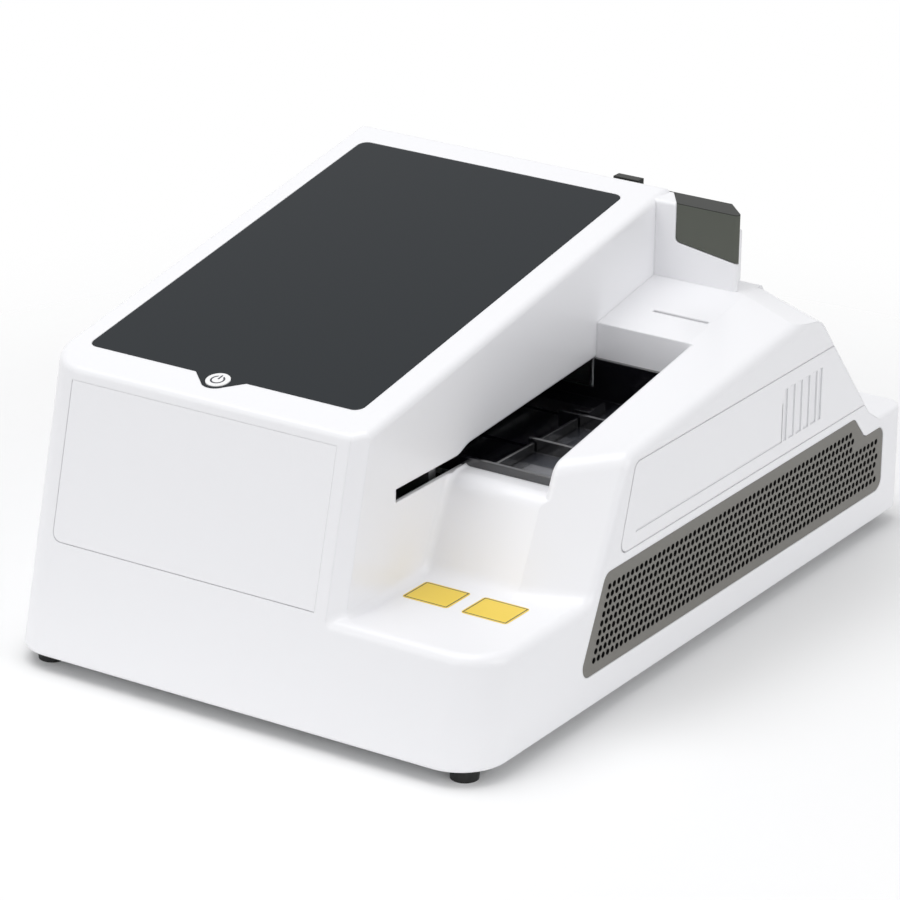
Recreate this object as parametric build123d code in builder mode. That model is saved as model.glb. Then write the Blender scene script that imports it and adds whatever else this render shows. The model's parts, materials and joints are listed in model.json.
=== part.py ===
from build123d import *
import os
from math import cos, pi, radians, sin, tan

# Bench-top reader for test strips. Millimetres, +X to the right as seen from the front, +Y to the
# back, +Z up. The origin is on the table, under the middle of the unit.

os.makedirs("parts", exist_ok=True)

# ---- overall sizes -------------------------------------------------------------------------------
width = 278.0                 # left side to right side
depth = 424.0                 # front foot line to rear wall
foot_height = 8.0             # table to the underside of the casing
wall = 2.5                    # casing wall
fit_gap = 0.4                 # gap round covers that lift or slide out
touch_gap = 0.3               # gap between parts of different moving groups

left = -width / 2
right = width / 2
front = -depth / 2
rear = depth / 2

# ---- casing --------------------------------------------------------------------------------------
front_lean = 13.3             # front face leans back, degrees
screen_tilt = 10.05           # screen rises to the back, degrees
brow_height = 149.6           # front edge of the screen face
tower_width = 191.0           # left part, which carries the screen
tower_depth = 316.0           # front foot line to the tower's rear wall
deck_height = 63.0            # low front deck
ledge_height = 66.6           # low ledge along the back
block_depth = 386.0           # front foot line to the rear wall of the high part
block_width = 195.5           # high part behind the tower
pod_width = 33.5              # raised rim along the right side
hump_height = 108.1           # step in front of the strip tray
rear_deck_start = 245.6       # front foot line to the rear end of the tray recess
collar_start = 301.5          # front foot line to the printer collar
collar_reach = 242.0          # left side to the collar's right end
corner_radius = 24.0
right_corner_radius = 25.0
tower_chamfer = 6.8
rear_corner_radius = 10.0
step_radius = 10.0
pod_foot_radius = 8.0
pod_nose_radius = 12.0
pod_crest_radius = 14.0
pod_edge_radius = 6.0
brow_radius = 4.0
deck_side_radius = 4.0
pod_rim_radius = 3.0          # edge beside the strip tray
rear_edge_radius = 2.0
base_radius = 1.5
top_wall = 4.2                # under the screen glass

tower_right = left + tower_width
tower_back = front + tower_depth
block_back = front + block_depth
block_right = left + block_width
pod_left = right - pod_width
recess_back = front + rear_deck_start
collar_front = front + collar_start
collar_right = left + collar_reach
lean = tan(radians(front_lean))
tilt = tan(radians(screen_tilt))


def front_at(z):
    """Front face of the casing at height z."""
    return front + (z - foot_height) * lean


brow_y = front_at(brow_height)


def screen_at(y):
    """Height of the screen face at depth y."""
    return brow_height + (y - brow_y) * tilt


# rear deck and inner rim of the pod, parallel to the screen
deck_rise_start = 145.7       # height of the rear deck at the recess


def rim_at(y):
    return deck_rise_start + (y - recess_back) * tilt


hump_lean = 0.455             # run over rise of the slope in front of the hump and pod
hump_foot = front + 88.0            # where that slope meets the deck
pod_front_outer = front + 102.6      # the same at the right side
pod_front_outer_lean = 0.5
pod_nose_height = 129.5       # outer top edge, front end
pod_crest_height = 145.7      # outer top edge, rear end
pod_crest = front + 298.0
rim_crest = front + 320.0             # inner top edge, where it turns down
pod_shoulder = front + 323.4
pod_shoulder_height = 142.0
pod_tail = front + 381.7
pod_tail_height = 73.4
ledge_start = front + 393.0


def hump_at(z):
    return hump_foot + (z - deck_height) * hump_lean


def nose_at(z):
    return pod_front_outer + (z - deck_height) * pod_front_outer_lean


rim_nose = (deck_rise_start + (hump_at(deck_height) - recess_back - deck_height * hump_lean) * tilt) / (
    1 - hump_lean * tilt
)


def casing_volumes(inset, top_inset):
    """The casing's volume without its details, with every face drawn in by inset."""
    bottom = foot_height - inset
    slope_bottom = deck_height - 8
    brow_top = brow_height - top_inset + (inset - brow_height * lean) * tilt
    brow_inner = brow_top / (1 - lean * tilt)
    deck_inner = recess_back + inset
    with BuildPart() as volumes:
        # tub
        with BuildSketch(Plane.YZ.offset(left + inset)):
            with BuildLine():
                Polyline(
                    (front_at(bottom) + inset, bottom),
                    (front_at(deck_height - inset) + inset, deck_height - inset),
                    (recess_back, deck_height - inset),
                    (recess_back, ledge_height - inset),
                    (rear - inset, ledge_height - inset),
                    (rear - inset, bottom),
                    close=True,
                )
            make_face()
        extrude(amount=width - 2 * inset)
        # tower
        with BuildSketch(Plane.YZ.offset(left + inset)):
            with BuildLine():
                Polyline(
                    (front_at(bottom) + inset, bottom),
                    (front_at(brow_inner) + inset, brow_inner),
                    (tower_back - inset, screen_at(tower_back - inset) - top_inset),
                    (tower_back - inset, bottom),
                    close=True,
                )
            make_face()
        extrude(amount=tower_width - 2 * inset)
        # high block behind the tower
        with BuildSketch(Plane.YZ.offset(left + inset)):
            with BuildLine():
                Polyline(
                    (collar_front + wall, bottom),
                    (collar_front + wall, rim_at(tower_back) - inset),
                    (block_back - inset, rim_at(tower_back) - inset),
                    (block_back - inset, bottom),
                    close=True,
                )
            make_face()
        extrude(amount=block_width - 2 * inset)
        # rear deck
        with BuildSketch(Plane.YZ.offset(tower_right - wall)):
            with BuildLine():
                Polyline(
                    (deck_inner, bottom),
                    (deck_inner, rim_at(deck_inner) - inset),
                    (collar_front, rim_at(collar_front) - inset),
                    (rim_crest - inset, rim_at(collar_front) - 0.5 - inset),
                    (pod_tail - inset, pod_tail_height - inset),
                    (ledge_start - inset, ledge_height - inset),
                    (ledge_start - inset, bottom),
                    close=True,
                )
            make_face()
        extrude(amount=pod_left + inset - tower_right + wall)
        # step in front of the tray
        with BuildSketch(Plane.YZ.offset(tower_right - wall)):
            with BuildLine():
                Polyline(
                    (hump_at(slope_bottom) + inset, slope_bottom),
                    (hump_at(hump_height) + inset, hump_height - inset),
                    (recess_back + inset + 1, hump_height - inset),
                    (recess_back + inset + 1, slope_bottom),
                    close=True,
                )
            make_face()
        extrude(amount=pod_left + inset - tower_right + wall)
        # pod: the inner rim is parallel to the screen, the outer edge rises less
        with BuildSketch(Plane.YZ.offset(pod_left + inset)):
            with BuildLine():
                Polyline(
                    (hump_at(slope_bottom) + inset, slope_bottom),
                    (hump_at(rim_nose) + inset, rim_nose - inset),
                    (collar_front, rim_at(collar_front) - inset),
                    (rim_crest - inset, rim_at(collar_front) - 0.5 - inset),
                    (pod_tail - inset, pod_tail_height - inset),
                    (ledge_start - inset, ledge_height - inset),
                    (ledge_start - inset, slope_bottom),
                    close=True,
                )
            make_face()
            nose = (hump_at(rim_nose) + inset, rim_nose - inset)
            crest = (rim_crest - inset, rim_at(collar_front) - 0.5 - inset)
            fillet(vertices().sort_by_distance(nose)[0], pod_nose_radius - inset)
            fillet(vertices().sort_by_distance(crest)[0], pod_crest_radius - inset)
        with BuildSketch(Plane.YZ.offset(right - inset)):
            with BuildLine():
                Polyline(
                    (nose_at(slope_bottom) + inset, slope_bottom),
                    (nose_at(pod_nose_height) + inset, pod_nose_height - inset),
                    (pod_crest, pod_crest_height - inset),
                    (pod_shoulder - inset, pod_shoulder_height - inset),
                    (pod_tail - inset, pod_tail_height - inset),
                    (ledge_start - inset, ledge_height - inset),
                    (ledge_start - inset, slope_bottom),
                    close=True,
                )
            make_face()
            nose = (nose_at(pod_nose_height) + inset, pod_nose_height - inset)
            crest = (pod_shoulder - inset, pod_shoulder_height - inset)
            fillet(vertices().sort_by_distance(nose)[0], pod_nose_radius - inset)
            fillet(vertices().sort_by_distance(crest)[0], pod_crest_radius - inset)
        loft(ruled=True)
    return volumes.part


def edge_near(shape, x, y, z):
    """The edge whose middle lies nearest to a point."""
    return shape.edges().sort_by(lambda e: (e @ 0.5 - Vector(x, y, z)).length)[0]


def save(part, name):
    part.part.label = name
    export_step(part.part, f"parts/{name}.step")


def block(x0, x1, y0, y1, z0, z1):
    """A plain block between two corners."""
    with BuildPart() as body:
        with Locations(((x0 + x1) / 2, (y0 + y1) / 2, (z0 + z1) / 2)):
            Box(x1 - x0, y1 - y0, z1 - z0)
    return body.part


def rod(base, direction, radius, length):
    """A round bar from a base point along a direction."""
    with BuildPart() as body:
        with BuildSketch(Plane(origin=base, z_dir=direction)):
            Circle(radius)
        extrude(amount=length)
    return body.part


along_x = (1, 0, 0)
along_y = (0, 1, 0)
along_z = (0, 0, 1)

# heights and depths halfway along the edges that are rounded
tub_mid = (foot_height + deck_height) / 2
tower_mid = (deck_height + brow_height) / 2
casing_mid = (foot_height + brow_height) / 2
step_mid = (tower_right + pod_left) / 2
pod_mid = (pod_left + right) / 2
pod_top_mid_y = (nose_at(pod_nose_height) + pod_crest) / 2
pod_top_mid_z = (pod_nose_height + pod_crest_height) / 2
screen_mid_y = (brow_y + tower_back) / 2

# ---- printer hood and the collar it closes ---------------------------------------------------------
hood_width_back = 58.0        # straight rear part, just wider than the paper
hood_centre = left + 164.0
hood_back = front + 373.0
hood_side = left + 227.0              # where the hood's right side starts to draw in
hood_height = 196.5
hood_ridge = front + 317.0            # flat top ends here, then the roof falls to the back
hood_fall = 0.5               # drop over run of the roof
hood_wall = 2.0
hood_edge_radius = 2.0        # upright edge at the front right
seam_height = 174.0           # joint between hood and collar, at its visible middle
seam_middle = left + 216.0
seam_slope_x = 0.149
seam_slope_y = 0.30
seam_radius = 3.0             # where the joint turns up beside the tower
post_width = 12.3             # white corner post between tower and hood, at the front
post_tip = 2.2                # the same at the back of the tower
post_low = 168.0
post_edge_radius = 1.8
seam_plane = Plane(
    origin=(seam_middle, collar_front, seam_height),
    z_dir=(seam_slope_x, seam_slope_y, 1),
)


def seam_at(x, y):
    """Height of the joint between hood and collar."""
    return seam_height - seam_slope_x * (x - seam_middle) - seam_slope_y * (y - collar_front)


def hood_outline(inset):
    """Plan of the hood and its collar, drawn in by inset."""
    back_half = hood_width_back / 2
    with BuildSketch(Plane.XY) as outline:
        with BuildLine():
            Polyline(
                (2 * hood_centre - hood_side, tower_back),
                (hood_centre - back_half, hood_back),
                (hood_centre + back_half, hood_back),
                (hood_side, hood_ridge),
                (collar_right, collar_front),
                (tower_right, collar_front),
                (tower_right, tower_back),
                close=True,
            )
        make_face()
        if inset:
            offset(amount=-inset, mode=Mode.REPLACE)
        fillet(outline.vertices().sort_by_distance((collar_right, collar_front))[0], hood_edge_radius)
    return outline.sketch


def hood_block(inset, low, high):
    with BuildPart() as block:
        with BuildSketch(Plane.XY.offset(low)):
            add(hood_outline(inset))
        extrude(amount=high - low)
    return block.part


def corner_post(gap):
    """The post between tower and hood, larger by gap on its free sides."""
    with BuildPart() as post:
        with BuildSketch(Plane.XY.offset(post_low)):
            with BuildLine():
                Polyline(
                    (tower_right - wall, collar_front - gap),
                    (tower_right + post_width + gap, collar_front - gap),
                    (tower_right + post_tip + gap, tower_back + gap),
                    (tower_right - wall, tower_back + gap),
                    close=True,
                )
            make_face()
        extrude(amount=hood_height - post_low)
    return post.part


# ---- screen and button -----------------------------------------------------------------------------
glass_width = 161.2
glass_length = 245.5
glass_thickness = 1.8
glass_radius = 5.0
glass_centre_x = left + 93.8
glass_centre_y = front + 175.95
glass_gap = 0.25
module_width = 143.0
module_length = 228.0
module_thickness = 5.0
button_radius = 6.3
button_gap = 0.35
button_y = -125.6             # along the screen face, from the middle of the glass
button_rise = 0.4             # cap above the glass
button_travel = 0.8
bump_radius = 8.2
bump_reach = 16.0             # half width where the bump meets the edge of the glass
screen_plane = Plane(
    origin=(glass_centre_x, glass_centre_y, screen_at(glass_centre_y)),
    x_dir=(1, 0, 0),
    z_dir=(0, -sin(radians(screen_tilt)), cos(radians(screen_tilt))),
)


def glass_outline(grow):
    glass_front = -glass_length / 2
    with BuildSketch(Plane.XY) as outline:
        RectangleRounded(glass_width, glass_length, glass_radius)
        with BuildLine():
            Polyline(
                (-bump_reach, glass_front + 1),
                (-bump_radius * 0.8, button_y - bump_radius * 0.6),
                (bump_radius * 0.8, button_y - bump_radius * 0.6),
                (bump_reach, glass_front + 1),
                close=True,
            )
        make_face()
        with Locations((0, button_y)):
            Circle(bump_radius)
        if grow:
            offset(amount=grow, mode=Mode.REPLACE)
    return outline.sketch


# ---- front panel -----------------------------------------------------------------------------------
panel_left = left + 21.0
panel_right = tower_right - 14.0
panel_bottom = 65.2
panel_top = 143.5
panel_thickness = 1.2
panel_radius = 5.0
panel_groove = 0.35
panel_width = panel_right - panel_left
panel_length = (panel_top - panel_bottom) / cos(radians(front_lean))
panel_mid_height = (panel_top + panel_bottom) / 2
front_plane = Plane(
    origin=((panel_left + panel_right) / 2, front_at(panel_mid_height), panel_mid_height),
    x_dir=(1, 0, 0),
    z_dir=(0, -cos(radians(front_lean)), sin(radians(front_lean))),
)

# ---- drawer outline in the pod's side ----------------------------------------------------------------
drawer_low = 79.1
drawer_high = 123.7
drawer_nose_low = front + 125.9
drawer_nose_high = front + 139.2
drawer_corner = 5.0


def drawer_cut(inset):
    """Prism that cuts the drawer's skin out of the casing; inset draws its three fixed edges in."""
    with BuildPart() as prism:
        with BuildSketch(Plane.YZ.offset(pod_left + wall + inset)):
            with BuildLine():
                Polyline(
                    (drawer_nose_low + inset, drawer_low + inset),
                    (drawer_nose_high + inset, drawer_high - inset),
                    (rear, drawer_high - inset),
                    (rear, drawer_low + inset),
                    close=True,
                )
            make_face()
        extrude(amount=pod_width)
        for z in (drawer_low, drawer_high):
            fillet(
                prism.edges().filter_by(Axis.X).sort_by_distance((right, drawer_nose_low, z))[0],
                drawer_corner,
            )
    return prism.part


# ---- vent in the right side ------------------------------------------------------------------------
vent_low = 25.0
vent_high = 74.2
vent_nose_low = front + 91.3
vent_nose_high = front + 114.2
vent_shoulder = front + 366.2
vent_step = front + 378.4
vent_step_height = 60.5
vent_back = front + 399.5
vent_radius = 6.0
vent_thickness = 1.6
vent_recess = 0.2
vent_ledge = 3.0
hole_pitch = 4.29
hole_radius = 1.65
hole_rows = 9
hole_low = 31.9               # lowest row
hole_start_low = front + 105.1       # first hole of the lowest row
hole_row_shift = 1.64         # each row up starts this much further back
hole_end_high = front + 366.0         # rows above the step stop here
hole_end_low = front + 393.5


def vent_outline(inset):
    with BuildSketch(Plane.XY) as outline:
        with BuildLine():
            Polyline(
                (vent_nose_low, vent_low),
                (vent_nose_high, vent_high),
                (vent_shoulder, vent_high),
                (vent_step, vent_step_height),
                (vent_back, vent_step_height),
                (vent_back, vent_low),
                close=True,
            )
        make_face()
        fillet(outline.vertices(), vent_radius)
        if inset:
            offset(amount=-inset, mode=Mode.REPLACE)
    return outline.sketch


# ---- tray recess and slot ----------------------------------------------------------------------------
recess_front = front + 122.4
slot_front = front + 62.0
slot_high = 115.0             # top of the slot in front of the recess
slot_turn = front + 114.5
slot_rise_start = front + 127.6
slot_rise_height = 118.7
slot_back_height = 127.7

# ---- rear ports ------------------------------------------------------------------------------------
port_left = left + 15.0
port_right = left + 201.0
port_low = 20.0
port_high = 58.0

# ---- card slit in the rear deck ----------------------------------------------------------------------
slit_left = left + 211.0
slit_right = left + 243.0
slit_y = front + 268.0
slit_width = 1.9

# ---- printer cover hinge and print head ----------------------------------------------------------------
hinge_y = hood_back + 3.5
hinge_z = 163.0
hinge_pin_radius = 1.5
hinge_play = 0.05
knuckle_radius = 3.0
knuckle_length = 4.7
cover_knuckle_length = 6.0
hinge_pair = 20.0             # middle of the hood to the middle of each cover knuckle
cover_knuckles = [
    hood_centre - hinge_pair - cover_knuckle_length / 2,
    hood_centre + hinge_pair - cover_knuckle_length / 2,
]
housing_knuckles = []
for x in cover_knuckles:
    housing_knuckles.append(x - touch_gap - knuckle_length)
    housing_knuckles.append(x + cover_knuckle_length + touch_gap)
head_left = hood_centre - 25.5
head_right = hood_centre + 24.5
head_depth = 5.0
head_low = 179.0
head_high = 189.0

outer_casing = casing_volumes(0, 0)
inner_casing = casing_volumes(wall, top_wall)

with BuildPart() as inner_space:
    add(inner_casing)
    inner_corner = corner_radius - wall
    for x, radius in ((left, corner_radius), (right, right_corner_radius)):
        fillet(edge_near(inner_space, x, front_at(tub_mid), tub_mid if x > 0 else casing_mid), radius - wall)
        fillet(edge_near(inner_space, x, rear, tub_mid), rear_corner_radius - wall)
    chamfer(edge_near(inner_space, tower_right, front_at(tower_mid), tower_mid), tower_chamfer * 0.8)
    add(hood_block(wall, deck_height, hood_height))
    add(corner_post(0), mode=Mode.SUBTRACT)

with BuildPart() as collar:
    add(hood_block(0, deck_height, hood_height))
    split(bisect_by=seam_plane, keep=Keep.BOTTOM)
    add(corner_post(0))
    post_foot_x = tower_right + (post_width + post_tip) / 2
    post_foot_y = (collar_front + tower_back) / 2
    fillet(
        edge_near(collar, post_foot_x, post_foot_y, seam_at(post_foot_x, post_foot_y)),
        seam_radius,
    )
    fillet(edge_near(collar, tower_right + post_width / 2, collar_front, hood_height), post_edge_radius)

with BuildPart() as casing_shell:
    add(outer_casing)
    fillet(edge_near(casing_shell, left, front_at(casing_mid), casing_mid), corner_radius)
    fillet(edge_near(casing_shell, right, front_at(tub_mid), tub_mid), right_corner_radius)
    fillet(edge_near(casing_shell, left, rear, tub_mid), rear_corner_radius)
    fillet(edge_near(casing_shell, right, rear, tub_mid), rear_corner_radius)
    chamfer(edge_near(casing_shell, tower_right, front_at(tower_mid), tower_mid), tower_chamfer)
    # edges of the underside
    fillet(casing_shell.edges().group_by(Axis.Z)[0], base_radius)
    fillet(edge_near(casing_shell, step_mid, hump_foot, deck_height), step_radius)
    fillet(edge_near(casing_shell, step_mid, hump_at(hump_height), hump_height), step_radius)
    pod_foot = (hump_foot + pod_front_outer) / 2
    fillet(edge_near(casing_shell, pod_mid, pod_foot, deck_height), pod_foot_radius)
    fillet(edge_near(casing_shell, right, pod_top_mid_y, pod_top_mid_z), pod_edge_radius)
    pod_rim_y = (recess_front + recess_back) / 2
    fillet(edge_near(casing_shell, pod_left, pod_rim_y, rim_at(pod_rim_y)), pod_rim_radius)
    fillet(
        [
            edge_near(casing_shell, 0, brow_y, brow_height),
            edge_near(casing_shell, tower_right, screen_mid_y, screen_at(screen_mid_y)),
            edge_near(casing_shell, tower_right - tower_chamfer / 2, brow_y, brow_height),
            edge_near(casing_shell, left, screen_mid_y, screen_at(screen_mid_y)),
            edge_near(casing_shell, left + corner_radius / 3, brow_y + corner_radius / 3, brow_height),
            edge_near(casing_shell, 0, tower_back, screen_at(tower_back)),
        ],
        brow_radius,
    )
    deck_side = (front_at(deck_height) + hump_foot) / 2
    deck_nose = front_at(deck_height) + tower_chamfer / 2
    fillet(
        [
            edge_near(casing_shell, tower_right, deck_side, deck_height),
            edge_near(casing_shell, tower_right - tower_chamfer / 2, deck_nose, deck_height),
        ],
        deck_side_radius,
    )
    # rear edges
    block_mid = (left + block_right) / 2
    fillet(edge_near(casing_shell, block_mid, block_back, rim_at(tower_back)), rear_edge_radius)
    fillet(edge_near(casing_shell, 0, rear, ledge_height), rear_edge_radius)
    fillet(
        edge_near(casing_shell, left, (tower_back + block_back) / 2, rim_at(tower_back)),
        rear_edge_radius,
    )
    # printer collar
    add(collar.part)
    # hollow inside
    add(inner_space.part, mode=Mode.SUBTRACT)

with BuildPart() as upper_housing:
    add(casing_shell.part)
    # screen pocket, window and button hole
    with BuildSketch(screen_plane):
        add(glass_outline(glass_gap))
    extrude(amount=-glass_thickness, mode=Mode.SUBTRACT)
    with BuildSketch(screen_plane):
        Rectangle(module_width + 3, module_length + 3)
    extrude(amount=-2 * top_wall, mode=Mode.SUBTRACT)
    with BuildSketch(screen_plane):
        with Locations((0, button_y)):
            Circle(button_radius + 0.5)
    extrude(amount=-2 * top_wall, mode=Mode.SUBTRACT)
    # front panel pocket: a groove shows at the left and below
    with BuildSketch(front_plane) as panel_pocket:
        with Locations((-panel_groove / 2, -panel_groove / 2)):
            Rectangle(panel_width + panel_groove, panel_length + panel_groove)
        fillet(panel_pocket.vertices().group_by(Axis.Y)[0].sort_by(Axis.X)[0], panel_radius)
    extrude(amount=-panel_thickness, mode=Mode.SUBTRACT)
    # tray recess
    with BuildSketch(Plane.XY.offset(hump_height + 60)):
        with BuildLine():
            Polyline(
                (tower_right, recess_front),
                (tower_right, recess_back),
                (pod_left, recess_back),
                (pod_left, recess_front),
                close=True,
            )
        make_face()
    extrude(amount=-100, mode=Mode.SUBTRACT)
    # slot through the tower's wall
    with BuildSketch(Plane.YZ.offset(tower_right - 2 * wall)):
        with BuildLine():
            Polyline(
                (recess_back, slot_back_height),
                (recess_back, hump_height - 10),
                (recess_front, hump_height - 10),
                (recess_front, hump_height),
                (slot_front, hump_height),
                (slot_front, slot_high),
                (slot_turn, slot_high),
            )
            Spline(
                (slot_turn, slot_high),
                (slot_rise_start, slot_rise_height),
                tangents=[(1, 0), (1, tilt / 2)],
            )
            Line((slot_rise_start, slot_rise_height), (recess_back, slot_back_height))
        make_face()
    extrude(amount=2 * wall + 1, mode=Mode.SUBTRACT)
    # drawer opening
    add(drawer_cut(0), mode=Mode.SUBTRACT)
    # vent pocket and window
    with BuildSketch(Plane.YZ.offset(right - vent_recess - vent_thickness)):
        add(vent_outline(-glass_gap))
    extrude(amount=wall, mode=Mode.SUBTRACT)
    with BuildSketch(Plane.YZ.offset(right - 2 * wall)):
        add(vent_outline(vent_ledge))
    extrude(amount=2 * wall, mode=Mode.SUBTRACT)
    # opening for the rear ports
    with Locations(((port_left + port_right) / 2, rear, (port_low + port_high) / 2)):
        Box(port_right - port_left, 3 * wall, port_high - port_low, mode=Mode.SUBTRACT)
    # card slit
    with Locations(((slit_left + slit_right) / 2, slit_y, rim_at(slit_y))):
        Box(slit_right - slit_left, slit_width, 4 * wall, mode=Mode.SUBTRACT)
    # seat for the print head in the collar
    add(
        block(head_left - 1, head_right + 1, tower_back, tower_back + 2 * wall, head_low - 1, hood_height),
        mode=Mode.SUBTRACT,
    )
    # knuckles of the printer cover's hinge
    for x in housing_knuckles:
        add(rod((x, hinge_y, hinge_z), along_x, knuckle_radius, knuckle_length))
        add(
            block(
                x,
                x + knuckle_length,
                hinge_y - knuckle_radius,
                hinge_y + knuckle_radius,
                rim_at(tower_back) - wall,
                hinge_z,
            )
        )
    add(rod((left, hinge_y, hinge_z), along_x, hinge_pin_radius, width), mode=Mode.SUBTRACT)
save(upper_housing, "upper_housing")

# skin of the drawer: the piece of the casing that its opening leaves out
grip_start = front + 292.0
grip_pitch = 7.8
grip_count = 5
grip_width = 2.6
grip_low = 87.0
grip_high = 115.0
grip_depth = 0.8
line_width = 0.8
line_depth = 0.4
line_start = front + 141.3
line_end = front + 285.8
line_low = 87.3
line_high = 107.6
with BuildPart() as drawer_panel:
    add(casing_shell.part)
    add(drawer_cut(fit_gap), mode=Mode.INTERSECT)
    # field with raised grip ribs
    with BuildSketch(Plane.YZ.offset(right)):
        field_length = grip_pitch * grip_count
        with Locations((grip_start + grip_pitch * (grip_count - 1) / 2, (grip_low + grip_high) / 2)):
            Rectangle(field_length, grip_high - grip_low)
        for i in range(grip_count):
            with Locations((grip_start + i * grip_pitch, (grip_low + grip_high) / 2)):
                Rectangle(grip_width, grip_high - grip_low, mode=Mode.SUBTRACT)
    extrude(amount=-grip_depth, mode=Mode.SUBTRACT)
    # fine line below and behind the flat field
    with BuildSketch(Plane.YZ.offset(right)):
        with Locations(((line_start + line_end) / 2, line_low)):
            Rectangle(line_end - line_start, line_width)
        with Locations((line_end, (line_low + line_high) / 2)):
            Rectangle(line_width, line_high - line_low + line_width)
    extrude(amount=-line_depth, mode=Mode.SUBTRACT)
save(drawer_panel, "drawer_panel")

# ---- waste drawer: bin behind the skin ---------------------------------------------------------------
bin_wall = 1.6
bin_left = pod_left + 4.5
bin_front = front + 134.0
bin_back = front + 337.0
bin_low = 79.5
bin_high = 117.0
bin_right = right - wall
bin_length = bin_back - bin_front
with BuildPart() as waste_bin:
    with BuildSketch(Plane.XY.offset(bin_low)):
        with Locations(((bin_left + bin_right) / 2, (bin_front + bin_back) / 2)):
            Rectangle(bin_right - bin_left, bin_length)
    extrude(amount=bin_high - bin_low)
    with BuildSketch(Plane.XY.offset(bin_low + bin_wall)):
        with Locations(((bin_left + bin_right) / 2, (bin_front + bin_back) / 2)):
            Rectangle(bin_right - bin_left - 2 * bin_wall, bin_length - 2 * bin_wall)
    extrude(amount=bin_high - bin_low, mode=Mode.SUBTRACT)
save(waste_bin, "waste_bin")

# shelf that the bin slides on, fixed to the inside of the right wall
runner_thickness = 2.5
runner_high = bin_low - touch_gap
with BuildPart() as drawer_runner:
    with BuildSketch(Plane.XY.offset(runner_high)):
        with Locations(((bin_left + bin_right) / 2, (bin_front + bin_back) / 2)):
            Rectangle(bin_right - bin_left, bin_length)
    extrude(amount=-runner_thickness)
save(drawer_runner, "drawer_runner")

# ---- base plate, feet and screws ---------------------------------------------------------------------
base_thickness = 2.5
base_gap = 0.3
base_top = foot_height + base_thickness
with BuildPart() as base_plate:
    with BuildSketch(Plane.XY.offset(foot_height)):
        with Locations((0, base_gap)):
            Rectangle(width - 2 * wall - 2 * base_gap, depth - 2 * wall - 4 * base_gap)
        fillet(vertices().group_by(Axis.Y)[0], right_corner_radius - wall)
        fillet(vertices().sort_by(Axis.Y)[-2:], rear_corner_radius - wall)
    extrude(amount=base_thickness)
save(base_plate, "base_plate")

foot_radius = 7.0
foot_inset_x = 17.0
foot_inset_y = 17.0
foot_socket = 4.5
foot_places = [
    (left + foot_inset_x, front + foot_inset_y),
    (right - foot_inset_x, front + foot_inset_y),
    (left + foot_inset_x, rear - foot_inset_y),
    (right - foot_inset_x, rear - foot_inset_y),
]
with BuildPart() as rubber_feet:
    with BuildSketch():
        with Locations(*foot_places):
            Circle(foot_radius)
    extrude(amount=foot_height, taper=-4)
    with BuildSketch():
        with Locations(*foot_places):
            Circle(foot_socket)
    extrude(amount=foot_height / 2, mode=Mode.SUBTRACT)
save(rubber_feet, "rubber_feet")

screw_head_radius = 3.0
screw_head = 1.8
screw_places = [
    (left + 40, front + 20),
    (right - 40, front + 20),
    (left + 14, front + 192),
    (right - 14, front + 192),
    (left + 40, rear - 16),
    (right - 40, rear - 16),
]
with BuildPart() as base_screws:
    with BuildSketch(Plane.XY.offset(foot_height - screw_head)):
        with Locations(*screw_places):
            Circle(screw_head_radius)
    extrude(amount=screw_head)
    with BuildSketch(Plane.XY.offset(foot_height - screw_head)):
        with Locations(*screw_places):
            RegularPolygon(1.3, 6)
    extrude(amount=screw_head / 2, mode=Mode.SUBTRACT)
save(base_screws, "base_screws")

# ---- front panel, glass, display and button ------------------------------------------------------------
with BuildPart() as front_panel:
    with BuildSketch(front_plane) as panel_face:
        Rectangle(panel_width, panel_length)
        fillet(panel_face.vertices().group_by(Axis.Y)[0].sort_by(Axis.X)[0], panel_radius)
    extrude(amount=-panel_thickness)
save(front_panel, "front_panel")

with BuildPart() as display_glass:
    with BuildSketch(screen_plane):
        add(glass_outline(0))
        with Locations((0, button_y)):
            Circle(button_radius + button_gap, mode=Mode.SUBTRACT)
    extrude(amount=-glass_thickness)
save(display_glass, "display_glass")

module_plane = screen_plane.offset(-glass_thickness)
with BuildPart() as display_module:
    with BuildSketch(module_plane):
        Rectangle(module_width, module_length)
    extrude(amount=-module_thickness)
save(display_module, "display_module")

# sheet frame behind the display, on four posts under the casing's top
bracket_thickness = 1.2
bracket_margin = 7.0
post_radius = 3.0
bracket_plane = module_plane.offset(-module_thickness)
post_x = module_width / 2 + bracket_margin / 2 + 1
post_y = module_length / 2 - 10
top_wall_square = top_wall * cos(radians(screen_tilt))
with BuildPart() as display_bracket:
    with BuildSketch(bracket_plane):
        Rectangle(module_width + 3 * bracket_margin, module_length)
    extrude(amount=-bracket_thickness)
    with BuildSketch(bracket_plane):
        with GridLocations(2 * post_x, 2 * post_y, 2, 2):
            Circle(post_radius)
    extrude(amount=module_thickness + glass_thickness - top_wall_square)
save(display_bracket, "display_bracket")

stem_radius = 2.0
cap_depth = 2.4
stem_depth = 4.6
switch_size = 6.0
switch_height = 3.5
board_width = 30.0
board_length = 11.0
board_thickness = 1.6
with BuildPart() as power_button:
    with BuildSketch(screen_plane.offset(button_rise)):
        with Locations((0, button_y)):
            Circle(button_radius)
    extrude(amount=-cap_depth)
    with BuildSketch(screen_plane.offset(button_rise)):
        with Locations((0, button_y)):
            Circle(stem_radius)
    extrude(amount=-stem_depth - button_rise)
    fillet(power_button.edges().filter_by(GeomType.CIRCLE).sort_by(Axis.Z)[-1], 0.4)
save(power_button, "power_button")

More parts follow.
